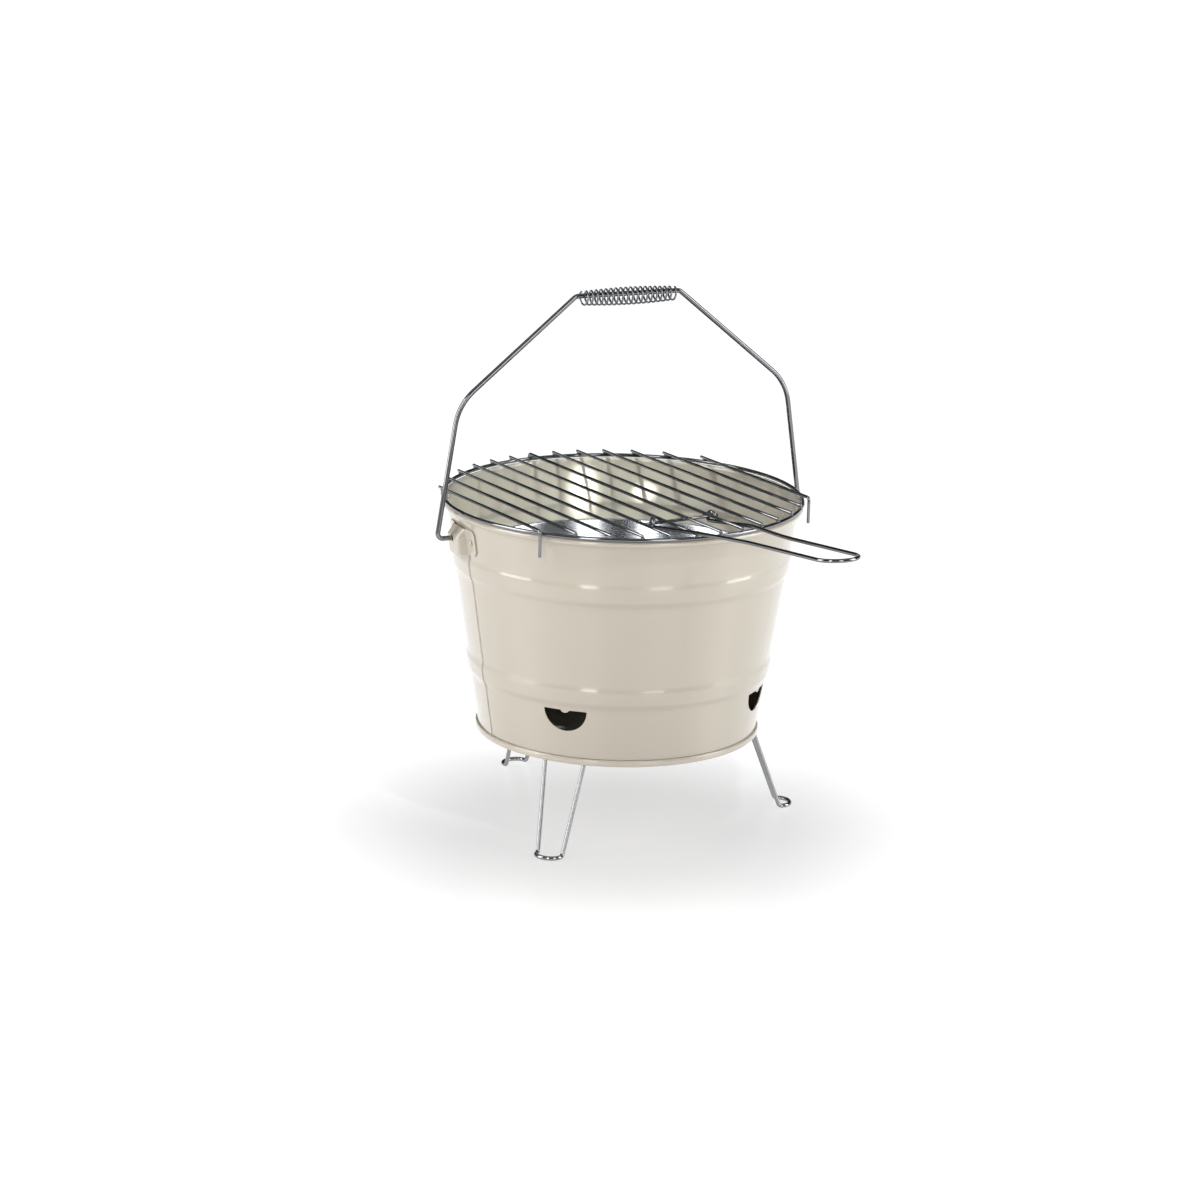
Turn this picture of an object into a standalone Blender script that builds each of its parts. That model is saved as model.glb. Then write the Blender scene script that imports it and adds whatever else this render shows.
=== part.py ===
"""Portable bucket charcoal grill, built as the separate pieces it is put together from.

Metres, +Z up. The origin is the point on the floor under the bucket's axis. +X runs along the
bail's hinge line to the right ear, and the grate's handle points nearly along -Y.
"""

from math import asin, atan, cos, hypot, pi, radians, sin, sqrt, tan

import bmesh
import bpy
from mathutils import Matrix, Vector

GAP = 0.0003                     # left between pieces that touch
ROUND_STEPS = 48                 # facets round every turned piece

# bucket wall: a cone of sheet steel, with heights above the floor
HEM_Z = 0.066                    # underside of the rolled hem
HEM_RADIUS = 0.1045              # the cone's outer radius at that height
TAPER = 0.153                    # growth of the radius per unit of height
WALL_SHEET = 0.0008
WALL_BOTTOM_Z = HEM_Z + 0.0052
NECK_Z = HEM_Z + 0.1705          # top of the cone, under the rim bead
RIM_BEAD_RADIUS = 0.0024
RIM_BEAD_CENTRE = (0.1322, HEM_Z + 0.1742)
BANDS_Z = ((HEM_Z + 0.1235, HEM_Z + 0.1435), (HEM_Z + 0.0433, HEM_Z + 0.0627))
BAND_BULGE = 0.0017
BAND_RAMP = 0.003

# draught openings
VENT_RADIUS = 0.0165
VENT_TOP_Z = HEM_Z + 0.042
VENT_AZIMUTHS = (-135, -45, 45, 135)
VENT_TAB = (0.0032, 0.0021)      # half width and depth of the tab left in the top edge

# base
BASE_SHEET = 0.001
BASE_UNDER_Z = HEM_Z + 0.009
HEM_OUTER = 0.1069

# ears
EAR_Z = 0.223                    # the bail's hinge line
EAR_SHEET = 0.001
EAR_HALF_WIDTH = 0.022
EAR_HEIGHT = 0.0195
EAR_DROP = 0.0008                # the ear's middle below the hinge line
NOSE_HALF_WIDTH = 0.0100
NOSE_DEPTH = 0.0082
EAR_RIVET_REACH = 0.0163
BAIL_HOLE_RADIUS = 0.0024

# bail and its grip
BAIL_WIRE = 0.0019               # wire radii from here on
BAIL_TIP_X = 0.1325
BAIL_CORNERS = ((0.1485, 0.0, 0.004), (0.1330, 0.0987, 0.040), (0.0417, 0.1737, 0.006))
GRIP_WIRE = 0.0008
GRIP_TURNS = 19
GRIP_HALF_LENGTH = 0.0375
GRIP_END_RADIUS = 0.0048
GRIP_MIDDLE_RADIUS = 0.0061

# grate
GRATE_Z = 0.244                  # the ring's own middle plane
GRATE_TURN = 7                   # degrees that the grate sits turned on the rim
RING_RADIUS = 0.134
RING_WIRE = 0.0015
ROD_WIRE = 0.00125
ROD_COUNT = 13
ROD_PITCH = 0.0193
ROD_FRONT_REACH = 0.1345
ROD_BACK_REACH = 0.1367
HOOK_REACH = 0.1385
HOOK_DROP = 0.0195
HOOK_BEND = 0.0025
FRONT_HOOKS = (1, 13)
BACK_HOOKS = (7,)
CROSSBAR_Y = -0.082
CROSSBAR_HALF_LENGTH = 0.031

# grate handle
HANDLE_WIRE = 0.0015
HANDLE_LENGTH = 0.210
HANDLE_ROOT_HALF = 0.0234
HANDLE_END_HALF = 0.016
HANDLE_RISE = 8.6                # degrees, over the ring
HANDLE_DIP = 3.5                 # degrees, from there on
HANDLE_DIP_FROM = 0.056
EYE_RADIUS = ROD_WIRE + HANDLE_WIRE + 0.00035
EYE_TURN = 290                   # degrees that an eye wraps round the crossbar
EYE_PITCH = 0.0038

# legs
LEG_WIRE = 0.0017
LEG_AZIMUTHS = {"front": -136.5, "right": -16.5, "rear": 103.5}
LEG_PIVOT_RADIUS = 0.09887
LEG_PIVOT_Z = BASE_UNDER_Z - GAP - LEG_WIRE
LEG_SPLAY = 20.6                 # degrees off the vertical
LEG_TOP_HALF = 0.016
LEG_FOOT_HALF = 0.00965
FOOT_STRAIGHT = 0.0022
FOOT_REACH = 0.0075
CLIP_SHEET = 0.0008
CLIP_WIDTH = 0.012
CLIP_FOOT_LENGTH = 0.0145
CLIP_RIVET_AT = 0.0105           # inward of the leg's pivot

# charcoal pan
PAN_SHEET = 0.0008
PAN_FLOOR_Z = 0.156
PAN_FLOOR_RADIUS = 0.1105
PAN_LIP_Z = 0.1963
PAN_LIP_RADIUS = 0.1235
PAN_SKIRT_Z = 0.1916
PAN_HOLE_RADIUS = 0.0035
PAN_HOLE_RINGS = ((0.0, 1), (0.038, 6), (0.078, 12))

# rivets
RIVET_SHANK = 0.0012
RIVET_HEAD = 0.0025
RIVET_GRIP = 0.0021

CREAM = (0.78, 0.73, 0.64)
CHROME = (0.72, 0.73, 0.75)
STEEL = (0.62, 0.63, 0.65)


def clear_scene():
    """Remove whatever the file holds."""
    for old in list(bpy.data.objects):
        bpy.data.objects.remove(old, do_unlink=True)


def new_collection(name):
    """A collection under the scene's own."""
    collection = bpy.data.collections.new(name)
    bpy.context.scene.collection.children.link(collection)
    return collection


def add(name, data, collection, parent=None, matrix=None):
    """An object in a collection, placed in its parent's frame."""
    thing = bpy.data.objects.new(name, data)
    collection.objects.link(thing)
    thing.parent = parent
    thing.matrix_local = matrix or Matrix()
    return thing


def finish(piece, colour, metallic, roughness):
    """Give a piece its own material."""
    material = bpy.data.materials.new(piece.name + "_finish")
    material.use_nodes = True
    shader = material.node_tree.nodes["Principled BSDF"]
    shader.inputs["Base Color"].default_value = (*colour, 1.0)
    shader.inputs["Metallic"].default_value = metallic
    shader.inputs["Roughness"].default_value = roughness
    piece.data.materials.clear()
    piece.data.materials.append(material)
    return piece


def painted(piece):
    return finish(piece, CREAM, 0.0, 0.3)


def chromed(piece):
    return finish(piece, CHROME, 1.0, 0.12)


def bright_steel(piece):
    return finish(piece, STEEL, 1.0, 0.2)


def around(azimuth):
    """Turn about Z by an azimuth in degrees."""
    return Matrix.Rotation(radians(azimuth), 4, "Z")


def shift(x, y, z):
    return Matrix.Translation((x, y, z))


def turned(name, profile, matrix=None, closed=False, steps=ROUND_STEPS, parent=None):
    """A turned piece: (radius, height) points, down the outer side, swept about Z."""
    mesh = bpy.data.meshes.new(name)
    edges = [(i, i + 1) for i in range(len(profile) - 1)]
    if closed:
        edges.append((len(profile) - 1, 0))
    mesh.from_pydata([(r, 0.0, z) for r, z in profile], edges, [])
    piece = add(name, mesh, PARTS, parent, matrix)
    sweep = piece.modifiers.new("sweep", "SCREW")
    sweep.axis = "Z"
    sweep.steps = steps
    sweep.render_steps = steps
    sweep.use_merge_vertices = True
    sweep.merge_threshold = 0.00001
    return piece


def wire(name, points, radius, parent=None, closed=False):
    """A round wire along a polyline."""
    curve = bpy.data.curves.new(name, "CURVE")
    curve.dimensions = "3D"
    curve.bevel_depth = radius
    curve.bevel_resolution = 2
    curve.use_fill_caps = not closed
    spline = curve.splines.new("POLY")
    spline.points.add(len(points) - 1)
    for knot, place in zip(spline.points, points):
        knot.co = (*place, 1.0)
    spline.use_cyclic_u = closed
    return add(name, curve, PARTS, parent)


def plate(name, outline, thickness, matrix, parent=None):
    """A flat outline in its own XY plane, thickened both ways along Z, as a mesh."""
    curve = bpy.data.curves.new(name, "CURVE")
    curve.dimensions = "2D"
    curve.fill_mode = "BOTH"
    curve.extrude = thickness / 2
    spline = curve.splines.new("POLY")
    spline.points.add(len(outline) - 1)
    for knot, place in zip(spline.points, outline):
        knot.co = (place[0], place[1], 0.0, 1.0)
    spline.use_cyclic_u = True
    drawn = add(name + "_outline", curve, PARTS)
    graph = bpy.context.evaluated_depsgraph_get()
    mesh = bpy.data.meshes.new_from_object(drawn.evaluated_get(graph))
    bpy.data.objects.remove(drawn)
    work = bmesh.new()
    work.from_mesh(mesh)
    bmesh.ops.remove_doubles(work, verts=work.verts, dist=0.00001)
    bmesh.ops.recalc_face_normals(work, faces=work.faces)
    work.to_mesh(mesh)
    work.free()
    return add(name, mesh, PARTS, parent, matrix)


def as_cutter(thing):
    """Move a solid to the cutters, where it shows as wires and is not a piece."""
    for collection in list(thing.users_collection):
        collection.objects.unlink(thing)
    CUTTERS.objects.link(thing)
    thing.hide_render = True
    thing.display_type = "WIRE"
    return thing


def drill(name, radius, length, matrix, sides=12):
    """A round cutter along its own Z."""
    mesh = bpy.data.meshes.new(name)
    work = bmesh.new()
    bmesh.ops.create_cone(work, cap_ends=True, segments=sides, radius1=radius,
                          radius2=radius, depth=length)
    work.to_mesh(mesh)
    work.free()
    return as_cutter(add(name, mesh, CUTTERS, matrix=matrix))


def cut(piece, cutter):
    """Take a cutter out of a piece."""
    boolean = piece.modifiers.new(cutter.name, "BOOLEAN")
    boolean.operation = "DIFFERENCE"
    boolean.solver = "EXACT"
    boolean.object = cutter


def rounded(corners, steps=4, closed=False):
    """A polyline from (point, bend radius) corners, with an arc at each bend."""
    out = []
    for i, (corner, radius) in enumerate(corners):
        end = not closed and i in (0, len(corners) - 1)
        if end or not radius:
            out.append(corner)
            continue
        back = (corners[i - 1][0] - corner).normalized()
        ahead = (corners[(i + 1) % len(corners)][0] - corner).normalized()
        half = back.angle(ahead) / 2
        centre = corner + (back + ahead).normalized() * (radius / sin(half))
        arm = corner + back * (radius / tan(half)) - centre
        bend = Matrix.Rotation((pi - 2 * half) / steps, 3, ahead.cross(back))
        for _ in range(steps + 1):
            out.append(centre + arm)
            arm = bend @ arm
    return out


def strip(path, thickness):
    """The outline of a bent sheet strip, from its middle line in a plane."""
    left, right = [], []
    for i, point in enumerate(path):
        into = (point - path[i - 1]).normalized() if i else None
        out = (path[i + 1] - point).normalized() if i + 1 < len(path) else into
        into = into or out
        along = (into + out).normalized()
        side = Vector((-along.y, along.x)) * (thickness / 2 / along.dot(out))
        left.append(point + side)
        right.append(point - side)
    return left + right[::-1]


def wall_radius(z):
    """Outer radius of the bare cone at a height."""
    return HEM_RADIUS + TAPER * (z - HEM_Z)


def wall_line():
    """The wall's outer side as (radius, height), top to bottom, with its two bands."""
    line = [(wall_radius(NECK_Z), NECK_Z)]
    for low, high in BANDS_Z:
        line.append((wall_radius(high), high))
        for z in (high - BAND_RAMP, low + BAND_RAMP):
            line.append((wall_radius(z) + BAND_BULGE, z))
        line.append((wall_radius(low), low))
    line.append((wall_radius(WALL_BOTTOM_Z), WALL_BOTTOM_Z))
    return line


def build_wall():
    """The tapered wall with its rim bead, bands, draught openings and rivet holes."""
    outer = wall_line()
    inner = [(r - WALL_SHEET, z) for r, z in reversed(outer)]
    bead_r, bead_z = RIM_BEAD_CENTRE
    bead = []
    for angle in (180, 140, 90, 45, 0, -45, -90, -120):
        bead.append((bead_r + RIM_BEAD_RADIUS * cos(radians(angle)),
                     bead_z + RIM_BEAD_RADIUS * sin(radians(angle))))
    wall = painted(turned("bucket_wall", outer + inner + bead, closed=True))
    for azimuth in VENT_AZIMUTHS:
        cut(wall, vent_cutter(azimuth))
    return wall


def vent_cutter(azimuth):
    """A half-moon with its flat side up, and a small tab left in that side."""
    half, depth = VENT_TAB
    outline = []
    for step in range(13):
        turn = pi + pi * step / 12
        outline.append((VENT_RADIUS * cos(turn), VENT_RADIUS * sin(turn)))
    for step in range(7):
        turn = pi * step / 6
        outline.append((half * cos(turn), -depth * sin(turn)))
    placed = around(azimuth) @ shift(0.11, 0, VENT_TOP_Z)
    facing_out = Matrix.Rotation(pi / 2, 4, "Z") @ Matrix.Rotation(pi / 2, 4, "X")
    name = "vent_{:+d}".format(azimuth)
    return as_cutter(plate(name, outline, 0.04, placed @ facing_out))


def build_base():
    """The recessed bottom disc, drawn down into the rolled hem."""
    top = BASE_UNDER_Z + BASE_SHEET
    profile = [(0.0, top), (0.1036, top), (0.1040, top - 0.0005), (0.1040, HEM_Z + 0.0049),
               (0.1062, HEM_Z + 0.0049), (HEM_OUTER, HEM_Z + 0.0040),
               (HEM_OUTER, HEM_Z + 0.0010), (0.1062, HEM_Z), (0.1055, HEM_Z),
               (0.1049, HEM_Z + 0.0009), (0.1040, HEM_Z + 0.0030),
               (0.1034, HEM_Z + 0.0045), (0.1033, BASE_UNDER_Z), (0.0, BASE_UNDER_Z)]
    return painted(turned("bucket_base", profile))


def rivet(name, matrix):
    """A round-head rivet whose outer sheet lies at its own z = 0."""
    head, tail = GAP, -RIVET_GRIP - GAP
    profile = [(0.0, head + 0.0012), (0.6 * RIVET_HEAD, head + 0.0010),
               (RIVET_HEAD, head + 0.0004), (RIVET_HEAD, head), (RIVET_SHANK, head),
               (RIVET_SHANK, tail), (0.8 * RIVET_HEAD, tail),
               (0.7 * RIVET_HEAD, tail - 0.0008), (0.0, tail - 0.0008)]
    return turned(name, profile, matrix, steps=10)


def ear_frame(azimuth):
    """Frame on the wall at the hinge line: X out of the wall, Z up along its slope."""
    surface = shift(wall_radius(EAR_Z), 0, EAR_Z)
    return around(azimuth) @ surface @ Matrix.Rotation(atan(TAPER), 4, "Y")


def ear_line():
    """Middle line of the pressed ear, seen from above: foot, nose, foot."""
    radius = wall_radius(EAR_Z)
    rest = GAP + EAR_SHEET / 2
    front = NOSE_DEPTH - EAR_SHEET / 2
    half = []
    for y in (EAR_HALF_WIDTH, 0.0165, NOSE_HALF_WIDTH + 0.0012):
        half.append(Vector((sqrt(radius ** 2 - y ** 2) - radius + rest, y)))
    half += [Vector((0.0012, NOSE_HALF_WIDTH)), Vector((front - 0.0015, NOSE_HALF_WIDTH - 0.0008)),
             Vector((front, NOSE_HALF_WIDTH - 0.0026))]
    return half + [Vector((p.x, -p.y)) for p in reversed(half)]


def build_ear(side, azimuth, wall):
    """One ear with its two rivets."""
    frame = ear_frame(azimuth)
    name = "ear_" + side
    placed = frame @ shift(0, 0, -EAR_DROP)
    ear = painted(plate(name, strip(ear_line(), EAR_SHEET), EAR_HEIGHT, placed))
    along_x = Matrix.Rotation(pi / 2, 4, "Y")
    hinge = around(azimuth) @ shift(wall_radius(EAR_Z) + NOSE_DEPTH, 0, EAR_Z) @ along_x
    cut(ear, drill(name + "_bail_hole", BAIL_HOLE_RADIUS, 0.006, hinge))
    radius = wall_radius(EAR_Z)
    for place, y in (("front", -EAR_RIVET_REACH), ("back", EAR_RIVET_REACH)):
        lean = asin(y / radius)
        out = GAP + EAR_SHEET
        seat = shift((radius + out) * cos(lean) - radius, (radius + out) * sin(lean), -EAR_DROP)
        matrix = frame @ seat @ Matrix.Rotation(lean, 4, "Z") @ along_x
        label = "ear_rivet_{}_{}".format(side, place if side == "right" else OTHER_END[place])
        painted(rivet(label, matrix))
        hole = drill(label + "_hole", RIVET_SHANK + GAP, 0.010, matrix, sides=10)
        cut(ear, hole)
        cut(wall, hole)


OTHER_END = {"front": "back", "back": "front"}


def build_bail():
    """The bail and its loose spring grip, both drawn about the hinge line."""
    hinge = add("bail_hinge", None, PARTS, matrix=shift(0, 0, EAR_Z))
    half = [(Vector((BAIL_TIP_X, 0, 0)), 0)]
    half += [(Vector((x, 0, z)), bend) for x, z, bend in BAIL_CORNERS]
    other = [(Vector((-p.x, 0, p.z)), bend) for p, bend in reversed(half)]
    chromed(wire("bail_wire", rounded(half + other), BAIL_WIRE, hinge))

    hang = GRIP_END_RADIUS - GRIP_WIRE - BAIL_WIRE - GAP
    axis = add("grip_axis", None, PARTS, hinge, shift(0, 0, BAIL_CORNERS[-1][1] - hang))
    per_turn = 8
    count = GRIP_TURNS * per_turn
    points = []
    for i in range(count + 1):
        along = i / count
        radius = GRIP_END_RADIUS + (GRIP_MIDDLE_RADIUS - GRIP_END_RADIUS) * sin(pi * along)
        turn = 2 * pi * i / per_turn
        x = GRIP_HALF_LENGTH * (2 * along - 1)
        points.append((x, radius * sin(turn), radius * cos(turn)))
    chromed(wire("grip_spring", points, GRIP_WIRE, axis))


def build_grate():
    """Ring, rods, crossbar and the folding handle."""
    grate = add("grate_seat", None, PARTS, matrix=shift(0, 0, GRATE_Z) @ around(GRATE_TURN))
    ring = [(RING_RADIUS + RING_WIRE * cos(a), RING_WIRE * sin(a))
            for a in (pi / 2 - 2 * pi * k / 8 for k in range(8))]
    level = around(-GRATE_TURN)
    chromed(turned("grate_ring", ring, level, closed=True, parent=grate))
    rod_z = RING_WIRE + ROD_WIRE + GAP
    for number in range(1, ROD_COUNT + 1):
        build_rod(number, rod_z, grate)
    bar_z = rod_z - 2 * ROD_WIRE - GAP
    ends = [Vector((x, CROSSBAR_Y, bar_z)) for x in (-CROSSBAR_HALF_LENGTH, CROSSBAR_HALF_LENGTH)]
    chromed(wire("grate_crossbar", ends, ROD_WIRE, grate))
    build_handle(grate, bar_z)


def build_rod(number, z, grate):
    """One rod of the grate, with a down-turned hook where it has one."""
    x = (number - (ROD_COUNT + 1) / 2) * ROD_PITCH
    corners = []
    for reach, hooked, side in ((ROD_FRONT_REACH, FRONT_HOOKS, -1), (ROD_BACK_REACH, BACK_HOOKS, 1)):
        if number in hooked:
            y = side * sqrt(HOOK_REACH ** 2 - x ** 2)
            tip = [(Vector((x, y, z - HOOK_DROP)), 0), (Vector((x, y, z)), HOOK_BEND)]
        else:
            tip = [(Vector((x, side * sqrt(reach ** 2 - x ** 2), z)), 0)]
        corners += tip if side < 0 else tip[::-1]
    name = "grate_rod_{:02d}".format(number)
    return chromed(wire(name, rounded(corners), ROD_WIRE, grate))


def handle_half_width(s):
    """Half the handle's width at a distance from its hinge."""
    t = min(max((s - 0.045) / 0.075, 0.0), 1.0)
    return HANDLE_ROOT_HALF - (HANDLE_ROOT_HALF - HANDLE_END_HALF) * t * t * (3 - 2 * t)


def build_handle(grate, bar_z):
    """The handle: a long wire loop whose two ends are eyes round the crossbar."""
    hinge = add("handle_hinge", None, PARTS, grate,
                shift(0, CROSSBAR_Y, bar_z) @ Matrix.Rotation(-radians(HANDLE_RISE), 4, "X"))
    half = []
    for step in range(9, 0, -1):
        turned_by = radians(EYE_TURN) * step / 9
        half.append(Vector((HANDLE_ROOT_HALF + EYE_PITCH * turned_by / (2 * pi),
                            EYE_RADIUS * sin(turned_by), -EYE_RADIUS * cos(turned_by))))
    straight = HANDLE_LENGTH - HANDLE_END_HALF
    for s in (0.0, 0.030, 0.050, 0.065, 0.080, 0.095, 0.110, 0.130, straight):
        half.append(Vector((handle_half_width(s), -s, handle_z(s))))
    for step in range(1, 5):
        turn = pi / 2 * step / 4
        s = straight + HANDLE_END_HALF * sin(turn)
        half.append(Vector((HANDLE_END_HALF * cos(turn), -s, handle_z(s))))
    other = [Vector((-p.x, p.y, p.z)) for p in reversed(half[:-1])]
    return chromed(wire("grate_handle", half + other, HANDLE_WIRE, hinge))


def handle_z(s):
    """The handle's height in its own rising frame, with the slight dip past the ring."""
    return -EYE_RADIUS - max(s - HANDLE_DIP_FROM, 0.0) * tan(radians(HANDLE_DIP))


def build_leg(place, azimuth, base):
    """One folding leg, the clip that it turns in, and the clip's rivet."""
    pivot = add("leg_pivot_" + place, None, PARTS,
                matrix=around(azimuth) @ shift(LEG_PIVOT_RADIUS, 0, LEG_PIVOT_Z))
    drop = LEG_PIVOT_Z - LEG_WIRE
    foot_x = drop * tan(radians(LEG_SPLAY))
    bend = 0.003
    top = (Vector((0, LEG_TOP_HALF, 0)), bend)
    heel = (Vector((foot_x, LEG_FOOT_HALF, -drop)), bend)
    toe = []
    for step in range(9):
        turn = pi * step / 8
        toe.append((Vector((foot_x + FOOT_STRAIGHT + FOOT_REACH * sin(turn),
                            LEG_FOOT_HALF * cos(turn), -drop)), 0))
    mirrored = [(Vector((p.x, -p.y, p.z)), r) for p, r in (heel, top)]
    line = rounded([top, heel] + toe + mirrored, steps=3, closed=True)
    chromed(wire("leg_" + place, line, LEG_WIRE, pivot, closed=True))
    build_clip(place, azimuth, base)


def build_clip(place, azimuth, base):
    """A P-clip round the leg's top bar, riveted to the underside of the base."""
    hold = LEG_WIRE + 0.0004 + CLIP_SHEET / 2
    foot_y = BASE_UNDER_Z - GAP - CLIP_SHEET / 2 - LEG_PIVOT_Z
    path = []
    for angle in range(20, -201, -20):
        path.append(Vector((hold * cos(radians(angle)), hold * sin(radians(angle)))))
    path += [Vector((-0.0042, foot_y)), Vector((-0.0042 - CLIP_FOOT_LENGTH, foot_y))]
    stand = around(azimuth) @ shift(LEG_PIVOT_RADIUS, 0, LEG_PIVOT_Z)
    clip = plate("leg_clip_" + place, strip(path, CLIP_SHEET), CLIP_WIDTH,
                 stand @ Matrix.Rotation(pi / 2, 4, "X"))
    bright_steel(clip)
    under = foot_y - CLIP_SHEET / 2
    seat = stand @ shift(-CLIP_RIVET_AT, 0, under) @ Matrix.Rotation(pi, 4, "X")
    bright_steel(rivet("leg_rivet_" + place, seat))
    hole = drill("leg_rivet_{}_hole".format(place), RIVET_SHANK + GAP, 0.010, seat, sides=10)
    cut(clip, hole)
    cut(base, hole)


def build_pan():
    """The charcoal pan: a shallow bowl whose rolled lip hangs on the upper band's shoulder."""
    t = PAN_SHEET
    lip = PAN_LIP_RADIUS
    floor, top, skirt = PAN_FLOOR_Z, PAN_LIP_Z, PAN_SKIRT_Z
    foot = PAN_FLOOR_RADIUS
    profile = [(0.0, floor + t), (foot - 0.0005, floor + t), (foot + 0.0010, floor + 0.0021),
               (lip - 0.0032, top - 0.0016), (lip - 0.0027, top - 0.0005), (lip - 0.0016, top),
               (lip - 0.0005, top - 0.0005), (lip, top - 0.0016), (lip, skirt),
               (lip - t, skirt), (lip - t, top - 0.0018), (lip - 0.0016, top - t),
               (lip - 0.0024, top - 0.0018), (foot + 0.0018, floor + 0.0018), (foot, floor),
               (0.0, floor)]
    pan = bright_steel(turned("charcoal_pan", profile))
    for radius, count in PAN_HOLE_RINGS:
        for k in range(count):
            spot = around(360 * k / count + 15) @ shift(radius, 0, floor)
            name = "pan_hole_{:.0f}_{:02d}".format(radius * 1000, k)
            cut(pan, drill(name, PAN_HOLE_RADIUS, 0.006, spot, sides=8))
    return pan


def build():
    """Everything, from the bucket outwards."""
    wall = build_wall()
    base = build_base()
    build_ear("right", 0, wall)
    build_ear("left", 180, wall)
    build_bail()
    build_grate()
    for place, azimuth in LEG_AZIMUTHS.items():
        build_leg(place, azimuth, base)
    build_pan()


clear_scene()
PARTS = new_collection("bucket_grill")
CUTTERS = new_collection("cutters")
build()
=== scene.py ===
"""Looks for the bucket charcoal grill: cream enamel, chromed wire and bright sheet steel.

Metres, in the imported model's frame: the origin is on the floor under the bucket's axis, +X
runs to the right ear along the bail's hinge line, -Y to the grate handle's side, +Z is up.
"""

from math import asin, atan, cos, degrees, pi, radians, sin, sqrt, tan

import bmesh
import bpy
from mathutils import Matrix, Vector


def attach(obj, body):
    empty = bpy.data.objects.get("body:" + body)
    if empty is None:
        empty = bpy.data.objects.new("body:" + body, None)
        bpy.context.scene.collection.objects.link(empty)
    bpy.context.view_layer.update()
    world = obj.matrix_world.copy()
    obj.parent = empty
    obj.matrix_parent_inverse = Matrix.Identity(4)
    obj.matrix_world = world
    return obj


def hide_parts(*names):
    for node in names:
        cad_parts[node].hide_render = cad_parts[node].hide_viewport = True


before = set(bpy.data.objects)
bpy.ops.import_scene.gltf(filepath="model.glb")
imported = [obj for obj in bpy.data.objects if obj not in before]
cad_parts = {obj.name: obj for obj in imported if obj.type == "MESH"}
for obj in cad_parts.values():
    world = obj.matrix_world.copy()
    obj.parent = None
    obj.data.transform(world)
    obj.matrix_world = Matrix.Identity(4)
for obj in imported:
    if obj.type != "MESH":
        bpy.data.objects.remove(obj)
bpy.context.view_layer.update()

# ---------------------------------------------------------------- dimensions
SIDES = 20                        # facets round a wire
SHAVE = 0.00005                   # off each wire's radius, to stay inside the CAD's box
SHARP = 38                        # an edge over this many degrees is shaded sharp
WIRE_END = ((0.0, 0.55), (0.12, 0.82), (0.42, 1.0))    # depth and width of a rounded end, in radii
TURN_STEPS = 192                  # facets round a lathed piece
GAP = 0.0003                      # clearance between parts that touch

HEM_Z = 0.066
HEM_FOOT = 0.0013                 # radius of the two quarter rolls of the hem
TAPER = 0.153                     # how far the wall leans out for each metre up
HEM_RADIUS = 0.1045
WALL_SHEET = 0.0008
WALL_BOTTOM_Z = 0.0712
NECK_Z = 0.2365
NECK_ROWS = (NECK_Z, 0.233, 0.228, 0.222, 0.216)
BELLY_ROWS = (0.170, 0.155, 0.140, 0.1335)
FOOT_ROWS = (0.092, 0.085, 0.078, 0.0735, WALL_BOTTOM_Z)
BEAD = (0.1322, 0.2402, 0.0024)   # centre radius, centre height, section radius
BANDS_Z = ((0.1895, 0.2095), (0.1093, 0.1287))
BAND_BULGE = 0.0015
BAND_RAMP = 0.0060
BAND_STEPS = 8
SEAM_AZIMUTH = 184.0
SEAM_TOP_Z = 0.2125
SEAM_STEP = 0.0006                # height of the lap's edge
SEAM_RUN = 12.0                   # degrees over which the lap dies away
SEAM_CRACK = 0.7                  # width in degrees of the crack in front of it
SEAM_FADE = 0.003                 # height over which it starts under the ear

VENT_RADIUS = 0.0165
VENT_TOP_Z = 0.108
VENT_AZIMUTHS = (-135, -45, 45, 135)
VENT_TAB = (0.0032, 0.0021)       # half width and depth of the nib at the middle of the top
VENT_REACH = 0.11                 # the cutter's distance from the axis
VENT_CUT = 0.02

EAR_Z = 0.223
NOSE_DEPTH = 0.0082
NOSE_HALF_WIDTH = 0.010
EAR_HALF_WIDTH = 0.022
EAR_HEIGHT = 0.0195
EAR_DROP = 0.0008
EAR_RIVET_REACH = 0.0163
EAR_SHEET = 0.001
EAR_CREASE = 0.0031               # above the hinge line, where the nose starts to slope back
EAR_LEAN = 0.78
EAR_CORNER = 0.003
HOOK_HOLE = 0.0024                # radius of the hole that the bail's end goes through
RIVET_HOLE = 0.0015
RIVET_CUT = 0.005
RIVET_TAIL = -0.0024              # where the peened tail starts, under the head's seat

BAIL_WIRE = 0.0019
BAIL_HALF = ((0.1325, 0, 0), (0.1485, 0, 0.004), (0.1330, 0.0987, 0.040), (0.0417, 0.1737, 0.006))
GRIP_WIRE = 0.0008
GRIP_TURNS = 19
GRIP_STEPS = 28                   # points in each turn
GRIP_HALF_LENGTH = 0.0375
GRIP_END_RADIUS = 0.0048
GRIP_MIDDLE_RADIUS = 0.0061
GRIP_Z = 0.3949

GRATE_Z = 0.244
GRATE_TURN = 7
RING_RADIUS = 0.134
RING_WIRE = 0.0015
RING_STEPS = 240
ROD_WIRE = 0.00125
ROD_Z = GRATE_Z + RING_WIRE + ROD_WIRE + GAP
BAR_Z = ROD_Z - 2 * ROD_WIRE - GAP
ROD_PITCH = 0.0193
ROD_COUNT = 13
ROD_REACH = {-1: 0.1345, 1: 0.1367}
HOOKS = {-1: (1, 13), 1: (7,)}
HOOK_REACH = 0.1385
HOOK_DROP = 0.0195
HOOK_BEND = 0.0025
CROSSBAR_Y = -0.082
CROSSBAR_HALF = 0.031
CROSSBAR_END = 0.004              # how far in from its ends it is welded to rods
WELD = (0.0016, 0.0009)           # half width and half height

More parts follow.
